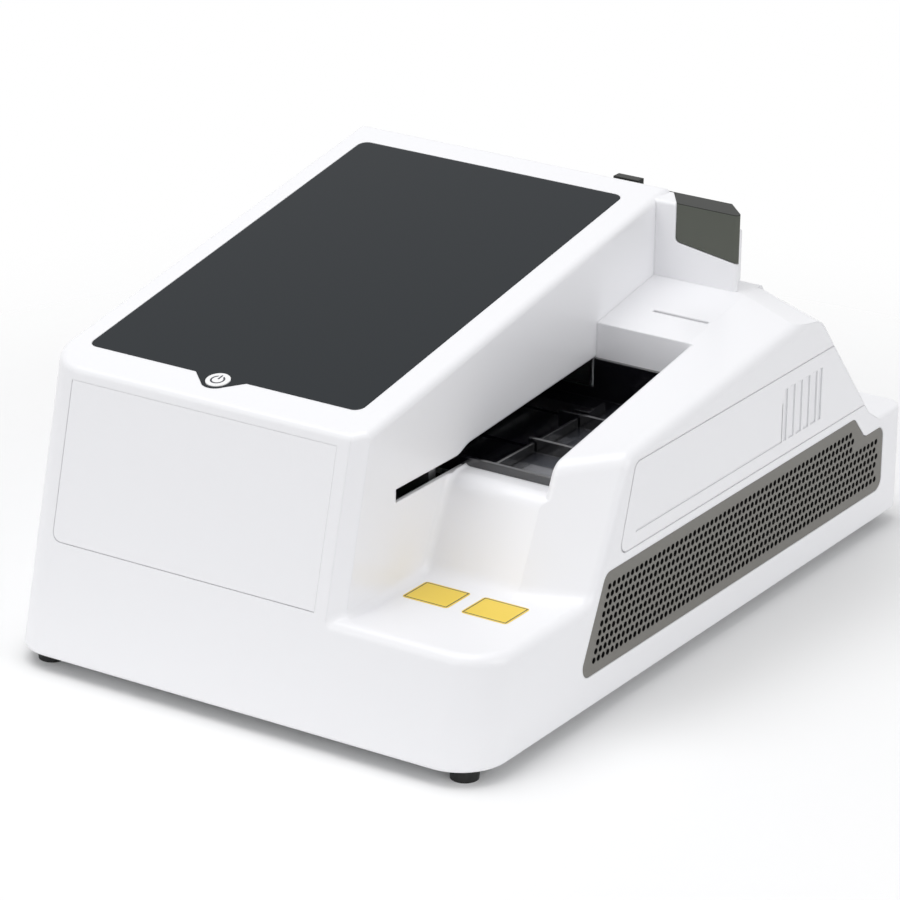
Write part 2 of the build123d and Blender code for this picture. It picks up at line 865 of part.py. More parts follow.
switch_top = -stem_depth - button_travel - touch_gap
with BuildPart() as power_switch:
    with BuildSketch(screen_plane.offset(switch_top)):
        with Locations((0, button_y)):
            Rectangle(switch_size, switch_size)
    extrude(amount=-switch_height)
    with BuildSketch(screen_plane.offset(switch_top - switch_height)):
        with Locations((0, button_y)):
            Rectangle(board_width, board_length)
    extrude(amount=-board_thickness)
    with BuildSketch(screen_plane.offset(switch_top - switch_height)):
        with Locations((-board_width / 2 + 3, button_y), (board_width / 2 - 3, button_y)):
            Circle(2.5)
    extrude(amount=switch_height - switch_top - top_wall_square)
save(power_switch, "power_switch")

# ---- side vent and fan ---------------------------------------------------------------------------------
with BuildPart() as vent_grille:
    with BuildSketch(Plane.YZ.offset(right - vent_recess)):
        add(vent_outline(0))
    extrude(amount=-vent_thickness)
    with BuildSketch(Plane.YZ.offset(right - vent_recess)):
        for row in range(hole_rows):
            height = hole_low + row * hole_pitch
            start = hole_start_low + row * hole_row_shift
            end = hole_end_low if height < vent_step_height - hole_pitch else hole_end_high
            count = int((end - start) / hole_pitch) + 1
            with Locations(*[(start + i * hole_pitch, height) for i in range(count)]):
                Circle(hole_radius)
    extrude(amount=-vent_thickness, mode=Mode.SUBTRACT)
save(vent_grille, "vent_grille")

fan_size = 50.0
fan_depth = 15.0
fan_y = front + 252.0
fan_z = base_top + 3 + fan_size / 2
fan_bore = 24.0
fan_hub = 12.0
fan_pin = 1.5
fan_mount = 2.0
blade_count = 7
blade_radius = 23.0
blade_thickness = 1.2
blade_pitch = 40.0
fan_inner = right - wall - fan_depth
fan_face = Plane.YZ.offset(fan_inner)
with BuildPart() as fan_frame:
    with BuildSketch(fan_face):
        with Locations((fan_y, fan_z)):
            RectangleRounded(fan_size, fan_size, 4)
            Circle(fan_bore, mode=Mode.SUBTRACT)
    extrude(amount=fan_depth)
    with BuildSketch(fan_face):
        with Locations((fan_y, fan_z)):
            Circle(fan_hub)
            with PolarLocations(0, 4, 45):
                with Locations((fan_bore / 2 + 4, 0)):
                    Rectangle(fan_bore, 3)
            Circle(fan_bore + 1, mode=Mode.INTERSECT)
    extrude(amount=fan_mount)
    with BuildSketch(fan_face):
        with Locations((fan_y, fan_z)):
            Circle(fan_pin)
    extrude(amount=fan_depth - 3)
    # foot that stands on the base plate
    with Locations((fan_inner + fan_depth / 2, fan_y, (base_top + fan_z - fan_size / 2) / 2)):
        Box(fan_depth, fan_size, fan_z - fan_size / 2 - base_top)
save(fan_frame, "fan_frame")

rotor_depth = fan_depth - fan_mount - 2 * touch_gap - 2
with BuildPart() as fan_rotor:
    with BuildSketch(Plane.YZ.offset(fan_inner + fan_mount + touch_gap)):
        with Locations((fan_y, fan_z)):
            Circle(fan_hub - 0.5)
    extrude(amount=rotor_depth)
    for i in range(blade_count):
        blade_plane = Plane(
            origin=(fan_inner + fan_mount + touch_gap + rotor_depth / 2, fan_y, fan_z),
            x_dir=(1, 0, 0),
            z_dir=(0, cos(2 * pi * i / blade_count), sin(2 * pi * i / blade_count)),
        )
        with BuildSketch(blade_plane.offset(fan_hub - 2)):
            Rectangle(rotor_depth, blade_thickness, rotation=blade_pitch)
        extrude(amount=blade_radius - fan_hub + 2)
    with BuildSketch(Plane.YZ.offset(fan_inner)):
        with Locations((fan_y, fan_z)):
            Circle(fan_pin + 0.05)
    extrude(amount=fan_depth, mode=Mode.SUBTRACT)
save(fan_rotor, "fan_rotor")

# ---- blank stickers on the front deck ------------------------------------------------------------------
label_width = 26.0
label_length = 22.0
label_thickness = 0.2
label_y = front + 68.0
label_left_x = tower_right + 20.0
label_right_x = tower_right + 53.5
with BuildPart() as deck_labels:
    with BuildSketch(Plane.XY.offset(deck_height)):
        with Locations((label_left_x, label_y), (label_right_x, label_y)):
            RectangleRounded(label_width, label_length, 2)
    extrude(amount=label_thickness)
save(deck_labels, "deck_labels")

# ---- frame inside, carries the tray, feeder and reader --------------------------------------------------
frame_low = 72.0
frame_high = 74.0
frame_left = tower_right - 74.0
frame_right = pod_left - 1.5
frame_front = front + 100.0
frame_back = front + 274.0
leg = 10.0
with BuildPart() as mech_frame:
    add(block(frame_left, frame_right, frame_front, frame_back, frame_low, frame_high))
    for x in (frame_left, frame_right - leg):
        for y in (frame_front, frame_back - leg):
            add(block(x, x + leg, y, y + leg, base_top, frame_low))
save(mech_frame, "mech_frame")

# ---- strip tray ------------------------------------------------------------------------------------------
tray_low = 103.5
tray_wall = 2.0
tray_rim = 112.4              # front wall and cross rails
tray_left = frame_left
tray_right = pod_left - touch_gap
tray_front = recess_front
tray_back = recess_back - touch_gap
tray_floor = tray_low + tray_wall
tray_rise_start = recess_front + 5.6
tray_rise_height = 118.2
tray_back_height = 127.2
tray_hidden_height = 111.5
rail_front = recess_front + 41.0
rail_front_left = tower_right + 12.0
rail_rear = recess_front + 82.1
rail_rear_left = tower_right + 4.0
groove_width = 3.2
groove_left = tower_right - 49.0
groove_right = tower_right + 39.5
groove_front = recess_front + 4.5
groove_middle = recess_front + 44.5
groove_rear = recess_front + 91.5
boss_radius = 3.0
with BuildPart() as strip_tray:
    add(block(tray_left, tray_right, tray_front, tray_back, tray_low, tray_floor))
    add(block(tray_left, tray_right, tray_front, tray_front + tray_wall, tray_floor, tray_rim))
    add(block(tray_left, tray_left + tray_wall, tray_front, tray_back, tray_floor, tray_hidden_height))
    with BuildSketch(Plane.YZ.offset(tray_right)):
        with BuildLine():
            Polyline(
                (tray_front, tray_low),
                (tray_front, tray_rim),
                (tray_rise_start, tray_rise_height),
                (tray_back, tray_back_height),
                (tray_back, tray_low),
                close=True,
            )
        make_face()
    extrude(amount=-tray_wall)
    back_inner = tray_back - tray_wall
    add(block(tower_right + touch_gap, tray_right, back_inner, tray_back, tray_floor, tray_back_height))
    add(block(tray_left, tower_right + touch_gap, back_inner, tray_back, tray_floor, tray_hidden_height))
    add(
        block(
            rail_front_left,
            tray_right,
            rail_front - tray_wall / 2,
            rail_front + tray_wall / 2,
            tray_floor,
            tray_rim,
        )
    )
    add(
        block(
            rail_rear_left,
            tray_right,
            rail_rear - tray_wall / 2,
            rail_rear + tray_wall / 2,
            tray_floor,
            tray_rim,
        )
    )
    for y in (groove_front, groove_middle, groove_rear):
        add(
            block(
                groove_left,
                groove_right,
                y - groove_width / 2,
                y + groove_width / 2,
                tray_low,
                tray_floor,
            ),
            mode=Mode.SUBTRACT,
        )
    for x in (tray_left + 4, tray_right - 4.2):
        for y in (tray_front + 4.6, tray_back - 4.3):
            add(rod((x, y, frame_high), along_z, boss_radius, tray_low - frame_high))
save(strip_tray, "strip_tray")

# ---- strip feeder ----------------------------------------------------------------------------------------
comb_x = tower_right + 15.3
comb_thickness = 1.6
comb_low = tray_floor + touch_gap
comb_high = comb_low + 4.9
blade_play = 1.0
tongue_length = groove_width - 0.8
hook_left = comb_x - 7.3
hook_back = recess_front + 106.6
feeder_z = frame_high + 12.0
carriage_half = 6.0           # half height and half width of the carriage
feeder_front = recess_front + 2.6
feeder_back = recess_front + 93.8
rod_radius = 2.5
rod_front = recess_front + 24.6
rod_rear = recess_front + 74.6
feeder_screw_y = recess_front + 49.6
screw_radius = 3.0
slide_play = 0.05
bracket_left = frame_left
bracket_left_thickness = 8.0
bracket_right = frame_right - 3.0
bracket_right_thickness = 6.0
bracket_front = recess_front + 14.6
bracket_back = recess_front + 84.6
bracket_high = frame_high + 20.0
with BuildPart() as feeder_comb:
    # blade in each of the two front lanes
    add(
        block(
            comb_x - comb_thickness / 2,
            comb_x + comb_thickness / 2,
            tray_front + tray_wall + 0.6,
            rail_front - tray_wall / 2 - blade_play,
            comb_low,
            comb_high,
        )
    )
    add(
        block(
            comb_x - comb_thickness / 2,
            comb_x + comb_thickness / 2,
            rail_front + tray_wall / 2 + blade_play,
            rail_rear - tray_wall / 2 - blade_play,
            comb_low,
            comb_high,
        )
    )
    # hook in the rear lane
    add(
        block(
            hook_left,
            comb_x + comb_thickness / 2,
            groove_rear - tongue_length / 2,
            groove_rear + tongue_length / 2,
            comb_low,
            comb_high,
        )
    )
    add(
        block(
            comb_x - comb_thickness / 2,
            comb_x + comb_thickness / 2,
            groove_rear,
            hook_back,
            comb_low,
            comb_high,
        )
    )
    for y in (groove_front, groove_middle, groove_rear):
        add(
            block(
                comb_x - comb_thickness / 2,
                comb_x + comb_thickness / 2,
                y - tongue_length / 2,
                y + tongue_length / 2,
                feeder_z + carriage_half,
                comb_low,
            )
        )
save(feeder_comb, "feeder_comb")

with BuildPart() as feeder_carriage:
    add(
        block(
            comb_x - carriage_half,
            comb_x + carriage_half,
            feeder_front,
            feeder_back,
            feeder_z - carriage_half,
            feeder_z + carriage_half,
        )
    )
    for y in (rod_front, rod_rear):
        add(rod((frame_left, y, feeder_z), along_x, rod_radius + slide_play, width), mode=Mode.SUBTRACT)
    add(
        rod((frame_left, feeder_screw_y, feeder_z), along_x, screw_radius + slide_play, width),
        mode=Mode.SUBTRACT,
    )
save(feeder_carriage, "feeder_carriage")

feeder_span = bracket_right + bracket_right_thickness - bracket_left
with BuildPart() as feeder_rods:
    for y in (rod_front, rod_rear):
        add(rod((bracket_left, y, feeder_z), along_x, rod_radius, feeder_span))
save(feeder_rods, "feeder_rods")

with BuildPart() as feeder_brackets:
    for x, thickness in ((bracket_left, bracket_left_thickness), (bracket_right, bracket_right_thickness)):
        add(block(x, x + thickness, bracket_front, bracket_back, frame_high, bracket_high))
    for y in (rod_front, rod_rear):
        add(rod((bracket_left, y, feeder_z), along_x, rod_radius, feeder_span), mode=Mode.SUBTRACT)
    add(
        rod((bracket_left, feeder_screw_y, feeder_z), along_x, screw_radius + slide_play, feeder_span),
        mode=Mode.SUBTRACT,
    )
save(feeder_brackets, "feeder_brackets")

motor_size = 35.0
motor_length = 26.0
motor_bore_depth = 12.0
motor_corner = 4.0
with BuildPart() as feeder_screw:
    add(
        rod(
            (bracket_left - motor_bore_depth + 1, feeder_screw_y, feeder_z),
            along_x,
            screw_radius,
            feeder_span + motor_bore_depth - 1,
        )
    )
save(feeder_screw, "feeder_screw")

with BuildPart() as feeder_motor:
    with BuildSketch(Plane.YZ.offset(bracket_left)):
        with Locations((feeder_screw_y, feeder_z)):
            RectangleRounded(motor_size, motor_size, motor_corner)
    extrude(amount=-motor_length)
    add(
        rod(
            (bracket_left - motor_bore_depth, feeder_screw_y, feeder_z),
            along_x,
            screw_radius + slide_play,
            motor_bore_depth,
        ),
        mode=Mode.SUBTRACT,
    )
save(feeder_motor, "feeder_motor")

# ---- optical reader over the tray ------------------------------------------------------------------------
reader_left = tower_right - 60.0
reader_right = tower_right - 10.0
reader_front = front + 112.0
reader_length = 40.0
reader_low = 116.0
reader_high = 142.0
reader_rod_radius = 3.0
reader_rod_z = 134.0
reader_rod_inset = 6.0
reader_mid = (reader_left + reader_right) / 2
reader_bracket_margin = 8.0
reader_bracket_front = front + 100.0
reader_bracket_back = front + 264.0
reader_bracket_thickness = 6.0
reader_rods_x = (reader_left + reader_rod_inset, reader_right - reader_rod_inset)
reader_span = reader_bracket_back + reader_bracket_thickness - reader_bracket_front
with BuildPart() as reader_carriage:
    add(
        block(
            reader_left,
            reader_right,
            reader_front,
            reader_front + reader_length,
            reader_low,
            reader_high,
        )
    )
    for x in reader_rods_x:
        add(
            rod((x, front, reader_rod_z), along_y, reader_rod_radius + slide_play, depth),
            mode=Mode.SUBTRACT,
        )
    add(rod((reader_mid, front, reader_rod_z), along_y, screw_radius + slide_play, depth), mode=Mode.SUBTRACT)
save(reader_carriage, "reader_carriage")

lens_radius = 9.0
lens_depth = 2.5
with BuildPart() as reader_lens:
    add(
        rod(
            (reader_mid, reader_front + reader_length / 2, reader_low - lens_depth),
            along_z,
            lens_radius,
            lens_depth,
        )
    )
save(reader_lens, "reader_lens")

with BuildPart() as reader_rods:
    for x in reader_rods_x:
        add(rod((x, reader_bracket_front, reader_rod_z), along_y, reader_rod_radius, reader_span))
save(reader_rods, "reader_rods")

with BuildPart() as reader_brackets:
    for y in (reader_bracket_front, reader_bracket_back):
        add(
            block(
                reader_left - reader_bracket_margin,
                reader_right + reader_bracket_margin / 2,
                y,
                y + reader_bracket_thickness,
                frame_high,
                reader_high,
            )
        )
    for x in reader_rods_x:
        add(rod((x, front, reader_rod_z), along_y, reader_rod_radius, depth), mode=Mode.SUBTRACT)
    add(rod((reader_mid, front, reader_rod_z), along_y, screw_radius + slide_play, depth), mode=Mode.SUBTRACT)
save(reader_brackets, "reader_brackets")

with BuildPart() as reader_screw:
    add(
        rod(
            (reader_mid, reader_bracket_front, reader_rod_z),
            along_y,
            screw_radius,
            reader_span + motor_bore_depth - 1,
        )
    )
save(reader_screw, "reader_screw")

with BuildPart() as reader_motor:
    motor_face = reader_bracket_back + reader_bracket_thickness
    with BuildSketch(Plane(origin=(reader_mid, motor_face, reader_rod_z), z_dir=along_y)):
        RectangleRounded(motor_size, motor_size, motor_corner)
    extrude(amount=motor_length)
    add(
        rod(
            (reader_mid, motor_face, reader_rod_z),
            along_y,
            screw_radius + slide_play,
            motor_bore_depth,
        ),
        mode=Mode.SUBTRACT,
    )
save(reader_motor, "reader_motor")

# ---- printer ---------------------------------------------------------------------------------------------
platen_y = tower_back + head_depth + touch_gap + 4.0
platen_z = (head_low + head_high) / 2
platen_radius = 4.0
platen_half = 27.0
platen_shaft_radius = 1.5
platen_gear_radius = 5.0
platen_gear_width = 3.0
arm_thickness = 2.5
arm_gap = 3.5
arm_front = platen_y - 4.0
arm_back = platen_y + 5.7
arm_low = platen_z - 4.0
tab_half = 7.5
tab_back = 6.0
tab_rise = 2.1
exit_half = 27.0
exit_front = platen_y - 1.5
exit_width = 2.2


def roof_at(y):
    """Height of the hood's roof at depth y."""
    return hood_height - max(0.0, y - hood_ridge) * hood_fall


def hood_roof(drop):
    """Everything below the hood's roof, lowered by drop."""
    far = hood_back + 10
    with BuildPart() as space:
        with BuildSketch(Plane.YZ.offset(left)):
            with BuildLine():
                Polyline(
                    (front, deck_height),
                    (front, hood_height - drop),
                    (hood_ridge, hood_height - drop),
                    (far, roof_at(far) - drop),
                    (far, deck_height),
                    close=True,
                )
            make_face()
        extrude(amount=width)
    return space.part


arm_left = hood_centre - platen_half - arm_gap - arm_thickness
arm_right = hood_centre + platen_half + arm_gap
with BuildPart() as hood_inside:
    add(hood_block(hood_wall, deck_height, hood_height))
    add(hood_roof(hood_wall), mode=Mode.INTERSECT)

with BuildPart() as printer_cover:
    add(hood_block(0, deck_height, hood_height))
    add(hood_roof(0), mode=Mode.INTERSECT)
    add(hood_inside.part, mode=Mode.SUBTRACT)
    # arms that carry the platen
    for x in (arm_left, arm_right):
        with BuildSketch(Plane.YZ.offset(x)):
            with BuildLine():
                Polyline(
                    (arm_front, arm_low),
                    (arm_front, roof_at(arm_front) - hood_wall / 2),
                    (arm_back, roof_at(arm_back) - hood_wall / 2),
                    (arm_back, arm_low),
                    close=True,
                )
            make_face()
        extrude(amount=arm_thickness)
    # joint with the collar, the tower and the block
    split(bisect_by=seam_plane.offset(fit_gap), keep=Keep.TOP)
    add(
        block(left, tower_right + fit_gap, front, tower_back + fit_gap, deck_height, hood_height),
        mode=Mode.SUBTRACT,
    )
    add(corner_post(fit_gap), mode=Mode.SUBTRACT)
    corner_y = collar_front + hood_wall / 2
    corner_run = (post_width - post_tip) / (tower_back - collar_front)
    corner_x = tower_right + post_width + fit_gap - hood_wall / 2 * corner_run
    fillet(
        edge_near(printer_cover, corner_x, corner_y, seam_at(corner_x, corner_y) + fit_gap),
        seam_radius - fit_gap,
    )
    add(
        block(left, block_right + fit_gap, front, rear, deck_height, rim_at(tower_back) + fit_gap),
        mode=Mode.SUBTRACT,
    )
    # room for the print head, slit for the paper
    add(
        block(
            head_left - 1,
            head_right + 1,
            tower_back,
            tower_back + head_depth + touch_gap,
            head_low - 10,
            head_high + 1,
        ),
        mode=Mode.SUBTRACT,
    )
    add(
        block(
            hood_centre - exit_half,
            hood_centre + exit_half,
            exit_front,
            exit_front + exit_width,
            head_high,
            hood_height,
        ),
        mode=Mode.SUBTRACT,
    )
    # lift tab
    add(
        block(
            hood_centre - tab_half,
            hood_centre + tab_half,
            tower_back + fit_gap,
            tower_back + tab_back,
            hood_height - hood_wall,
            hood_height + tab_rise,
        )
    )
    # hinge knuckles
    for x in cover_knuckles:
        add(rod((x, hinge_y, hinge_z), along_x, knuckle_radius, cover_knuckle_length))
        add(
            block(
                x,
                x + cover_knuckle_length,
                hood_back - hood_wall / 2,
                hinge_y,
                hinge_z + 1.6,
                hinge_z + knuckle_radius + 1,
            )
        )
    add(rod((left, hinge_y, hinge_z), along_x, hinge_pin_radius + hinge_play, width), mode=Mode.SUBTRACT)
    add(
        rod(
            (arm_left, platen_y, platen_z),
            along_x,
            platen_shaft_radius + hinge_play,
            arm_right - arm_left + 9,
        ),
        mode=Mode.SUBTRACT,
    )
save(printer_cover, "printer_cover")

pin_start = min(housing_knuckles)
pin_end = max(housing_knuckles) + knuckle_length
with BuildPart() as cover_hinge_pin:
    add(rod((pin_start, hinge_y, hinge_z), along_x, hinge_pin_radius, pin_end - pin_start))
save(cover_hinge_pin, "cover_hinge_pin")

with BuildPart() as print_head:
    add(block(head_left, head_right, tower_back, tower_back + head_depth, head_low, head_high))
save(print_head, "print_head")

with BuildPart() as platen_shaft:
    add(
        rod(
            (arm_left, platen_y, platen_z),
            along_x,
            platen_shaft_radius,
            arm_right + arm_thickness + 0.5 + platen_gear_width - arm_left,
        )
    )
save(platen_shaft, "platen_shaft")

with BuildPart() as platen_roller:
    add(rod((hood_centre - platen_half, platen_y, platen_z), along_x, platen_radius, 2 * platen_half))
    add(
        rod((hood_centre - platen_half, platen_y, platen_z), along_x, platen_shaft_radius, 2 * platen_half),
        mode=Mode.SUBTRACT,
    )
save(platen_roller, "platen_roller")

gear_teeth = 16
with BuildPart() as platen_gear:
    gear_plane = Plane(origin=(arm_right + arm_thickness + 0.5, platen_y, platen_z), z_dir=along_x)
    with BuildSketch(gear_plane):
        Circle(platen_gear_radius - 0.8)
        with PolarLocations(platen_gear_radius - 0.8, gear_teeth):
            Rectangle(1.6, 0.9)
        Circle(platen_shaft_radius, mode=Mode.SUBTRACT)
    extrude(amount=platen_gear_width)
save(platen_gear, "platen_gear")

roll_radius = 22.0
roll_x = hood_centre - 1.5
roll_half = 28.5
roll_y = tower_back + 30.0
roll_z = 146.0
core_radius = 8.0
core_bore = 6.3
stub_radius = 6.0
trough_gap = 2.5
trough_wall = 2.0
trough_half = 30.0
trough_end = 1.2
stub_length = 7.0
flange_low = 150.0
flange_high = 153.0
with BuildPart() as paper_roll:
    add(rod((roll_x - roll_half, roll_y, roll_z), along_x, roll_radius, 2 * roll_half))
    add(rod((left, roll_y, roll_z), along_x, core_radius, width), mode=Mode.SUBTRACT)
save(paper_roll, "paper_roll")

with BuildPart() as paper_core:
    add(rod((roll_x - roll_half, roll_y, roll_z), along_x, core_radius, 2 * roll_half))
    add(rod((left, roll_y, roll_z), along_x, core_bore, width), mode=Mode.SUBTRACT)
save(paper_core, "paper_core")

trough_inner = roll_radius + trough_gap
trough_outer = trough_inner + trough_wall
trough_left = roll_x - trough_half
with BuildPart() as paper_cradle:
    add(rod((trough_left, roll_y, roll_z), along_x, trough_outer, 2 * trough_half))
    add(
        rod(
            (trough_left + trough_end, roll_y, roll_z),
            along_x,
            trough_inner,
            2 * (trough_half - trough_end),
        ),
        mode=Mode.SUBTRACT,
    )
    add(block(left, right, front, rear, roll_z, hood_height), mode=Mode.SUBTRACT)
    # rear flange against the casing's rear wall
    add(
        block(
            trough_left,
            trough_left + 2 * trough_half,
            roll_y + trough_inner,
            roll_y + trough_outer,
            roll_z - 1,
            flange_high,
        )
    )
    add(
        block(
            trough_left,
            trough_left + 2 * trough_half,
            roll_y + trough_inner,
            block_back - wall,
            flange_low,
            flange_high,
        )
    )
    # stub axles for the core
    for x in (trough_left, trough_left + 2 * trough_half - stub_length):
        add(rod((x, roll_y, roll_z), along_x, stub_radius, stub_length))
save(paper_cradle, "paper_cradle")

# ---- electronics -----------------------------------------------------------------------------------------
pcb = 1.6
pcb_left = left + 12.0
pcb_right = frame_left - 10.0
pcb_front = front + 62.0
pcb_back = front + 222.0
pcb_low = base_top + 8.0
standoff_radius = 3.0
with BuildPart() as main_board:
    add(block(pcb_left, pcb_right, pcb_front, pcb_back, pcb_low, pcb_low + pcb))
    for x in (pcb_left + 5, pcb_right - 5):
        for y in (pcb_front + 5, pcb_back - 5):
            add(rod((x, y, base_top), along_z, standoff_radius, pcb_low - base_top))
    top = pcb_low + pcb
    add(block(pcb_left + 25, pcb_left + 55, pcb_front + 60, pcb_front + 90, top, top + 3))
    add(block(pcb_left + 62, pcb_left + 80, pcb_front + 55, pcb_front + 67, top, top + 2))
    add(block(pcb_left + 62, pcb_left + 80, pcb_front + 80, pcb_front + 92, top, top + 2))
    add(block(pcb_left + 15, pcb_left + 60, pcb_front + 14, pcb_front + 22, top, top + 9))
    add(block(pcb_left + 15, pcb_left + 45, pcb_back - 24, pcb_back - 16, top, top + 9))
    for i in range(4):
        add(rod((pcb_left + 20 + 14 * i, pcb_front + 118, top), along_z, 4, 12))
save(main_board, "main_board")

supply_left = left + 12.0
supply_width = 80.0
supply_front = front + 262.0
supply_length = 100.0
supply_height = 36.0
with BuildPart() as power_supply:
    add(
        block(
            supply_left,
            supply_left + supply_width,
            supply_front,
            supply_front + supply_length,
            base_top,
            base_top + supply_height,
        )
    )
save(power_supply, "power_supply")

plate_thickness = 1.5
plate_margin = 4.0
plate_back = rear - wall
plate_front = plate_back - plate_thickness
port_z = (port_low + port_high) / 2
inlet_x = port_left + 24.0
switch_x = port_left + 60.0
usb_x = port_left + 95.0
network_x = port_left + 122.0
serial_x = port_left + 160.0
inlet_width = 27.0
inlet_height = 19.8
inlet_flange_width = 31.0
inlet_flange_height = 24.4
flange_depth = 2.0
inlet_body = 22.0
inlet_cavity_width = 24.0
inlet_cavity_height = 16.4
inlet_cavity_depth = 16.0
inlet_corner = 4.0
rocker_width = 13.0
rocker_height = 19.0
rocker_flange_width = 15.0
rocker_flange_height = 21.0
rocker_body_depth = 15.0
usb_width = 14.4
usb_height = 7.0
usb_depth = 14.0
network_width = 16.0
network_height = 13.4
network_depth = 20.0
serial_width = 19.0
serial_height = 10.6
serial_flange_width = 31.0
serial_flange_height = 12.6
serial_depth = 10.0


def port_block(x, w, h, y0, y1):
    """A block behind or on the port plate, centred on a port."""
    return block(x - w / 2, x + w / 2, y0, y1, port_z - h / 2, port_z + h / 2)


with BuildPart() as port_plate:
    add(
        block(
            port_left - plate_margin,
            port_right + plate_margin,
            plate_front,
            plate_back,
            port_low - plate_margin,
            port_high + plate_margin,
        )
    )
    for x, w, h in (
        (inlet_x, inlet_width, inlet_height),
        (switch_x, rocker_width, rocker_height),
        (usb_x, usb_width, usb_height),
        (network_x, network_width, network_height),
        (serial_x, serial_width, serial_height),
    ):
        add(port_block(x, w, h, plate_front, plate_back), mode=Mode.SUBTRACT)
save(port_plate, "port_plate")

with BuildPart() as mains_inlet:
    add(port_block(inlet_x, inlet_width, inlet_height, plate_back - inlet_body, plate_back))
    add(port_block(inlet_x, inlet_flange_width, inlet_flange_height, plate_back, plate_back + flange_depth))
    # socket for the appliance plug, its two upper corners cut off
    with BuildSketch(
        Plane(origin=(inlet_x, plate_back + flange_depth, port_z), x_dir=(-1, 0, 0), z_dir=along_y)
    ):
        with BuildLine():
            Polyline(
                (-inlet_cavity_width / 2, -inlet_cavity_height / 2),
                (inlet_cavity_width / 2, -inlet_cavity_height / 2),
                (inlet_cavity_width / 2, inlet_cavity_height / 2 - inlet_corner),
                (inlet_cavity_width / 2 - inlet_corner, inlet_cavity_height / 2),
                (-inlet_cavity_width / 2 + inlet_corner, inlet_cavity_height / 2),
                (-inlet_cavity_width / 2, inlet_cavity_height / 2 - inlet_corner),
                close=True,
            )
        make_face()
    extrude(amount=-inlet_cavity_depth, mode=Mode.SUBTRACT)
    for x, z in ((-7, -2), (0, 2), (7, -2)):
        add(
            block(
                inlet_x + x - 1,
                inlet_x + x + 1,
                plate_back + flange_depth - inlet_cavity_depth - 1,
                plate_back - 3,
                port_z + z - 2,
                port_z + z + 2,
            )
        )
save(mains_inlet, "mains_inlet")

rocker_gap = 0.3
rocker_reach = 3.4            # pivot to the middle of the rocker's face
rocker_tilt = 7.0
rocker_pin = 1.2
pivot_y = plate_back - 3.0
with BuildPart() as rocker_body:
    add(port_block(switch_x, rocker_width, rocker_height, plate_back - rocker_body_depth, plate_back))
    add(
        port_block(
            switch_x,
            rocker_flange_width,
            rocker_flange_height,
            plate_back,
            plate_back + flange_depth / 2,
        )
    )
    add(
        port_block(switch_x, rocker_width - 2, rocker_height - 2, plate_back - 9, plate_back + flange_depth),
        mode=Mode.SUBTRACT,
    )
    add(rod((switch_x - rocker_width / 2 + 0.5, pivot_y, port_z), along_x, rocker_pin, rocker_width - 1))
save(rocker_body, "rocker_body")

rocker_half = (rocker_height - 2) / 2 - 0.7
rocker_plane = Plane(
    origin=(switch_x - rocker_width / 2 + 1 + rocker_gap, pivot_y, port_z),
    x_dir=(0, cos(radians(rocker_tilt)), -sin(radians(rocker_tilt))),
    z_dir=along_x,
)
with BuildPart() as rocker:
    with BuildSketch(rocker_plane):
        with BuildLine():
            Polyline(
                (rocker_reach, 0),
                (rocker_reach + 0.9, rocker_half),
                (-1.2, rocker_half),
                (-2.6, 0),
                (-1.2, -rocker_half),
                (rocker_reach + 0.9, -rocker_half),
                close=True,
            )
        make_face()
    extrude(amount=rocker_width - 2 - 2 * rocker_gap)
    add(rod((left, pivot_y, port_z), along_x, rocker_pin + hinge_play, width), mode=Mode.SUBTRACT)
save(rocker, "rocker")

with BuildPart() as usb_port:
    add(port_block(usb_x, usb_width, usb_height, plate_back - usb_depth, plate_back))
    add(
        port_block(usb_x, usb_width - 1.6, usb_height - 1.8, plate_back - usb_depth + 2, plate_back),
        mode=Mode.SUBTRACT,
    )
    add(
        block(
            usb_x - usb_width / 2 + 1.8,
            usb_x + usb_width / 2 - 1.8,
            plate_back - usb_depth + 1,
            plate_back - 1,
            port_z + 0.4,
            port_z + usb_height / 2 - 0.9,
        )
    )
save(usb_port, "usb_port")

with BuildPart() as network_port:
    add(port_block(network_x, network_width, network_height, plate_back - network_depth, plate_back))
    add(
        port_block(
            network_x,
            network_width - 4,
            network_height - 5,
            plate_back - network_depth + 4,
            plate_back,
        ),
        mode=Mode.SUBTRACT,
    )
save(network_port, "network_port")

with BuildPart() as serial_port:
    add(
        port_block(
            serial_x,
            serial_width,
            serial_height,
            plate_back - serial_depth,
            plate_back + flange_depth,
        )
    )
    add(
        port_block(
            serial_x,
            serial_flange_width,
            serial_flange_height,
            plate_front - flange_depth,
            plate_front,
        )
    )
    add(
        port_block(
            serial_x,
            serial_width - 1.6,
            serial_height - 1.6,
            plate_back - 4,
            plate_back + flange_depth,
        ),
        mode=Mode.SUBTRACT,
    )
    for row, count in ((-1.4, 4), (1.4, 5)):
        for i in range(count):
            x = serial_x + 2.7 * (i - (count - 1) / 2)
            add(rod((x, plate_back - 4.5, port_z + row), along_y, 0.5, 5))
save(serial_port, "serial_port")

# ---- card socket under the slit ------------------------------------------------------------------------
socket_half = 6.0
socket_drop = 30.0
with BuildPart() as card_socket:
    socket_low = rim_at(slit_y) - wall - socket_drop
    with BuildSketch(Plane.YZ.offset(slit_left - 2.5)):
        with BuildLine():
            Polyline(
                (slit_y - socket_half, socket_low),
                (slit_y - socket_half, rim_at(slit_y - socket_half) - wall),
                (slit_y + socket_half, rim_at(slit_y + socket_half) - wall),
                (slit_y + socket_half, socket_low),
                close=True,
            )
        make_face()
    extrude(amount=slit_right - slit_left + 5)
    add(
        block(
            slit_left,
            slit_right,
            slit_y - slit_width / 2,
            slit_y + slit_width / 2,
            socket_low + 4,
            rim_at(slit_y),
        ),
        mode=Mode.SUBTRACT,
    )
save(card_socket, "card_socket")
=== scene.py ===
import json
from math import cos, radians, sin

import bpy
from mathutils import Matrix, Vector


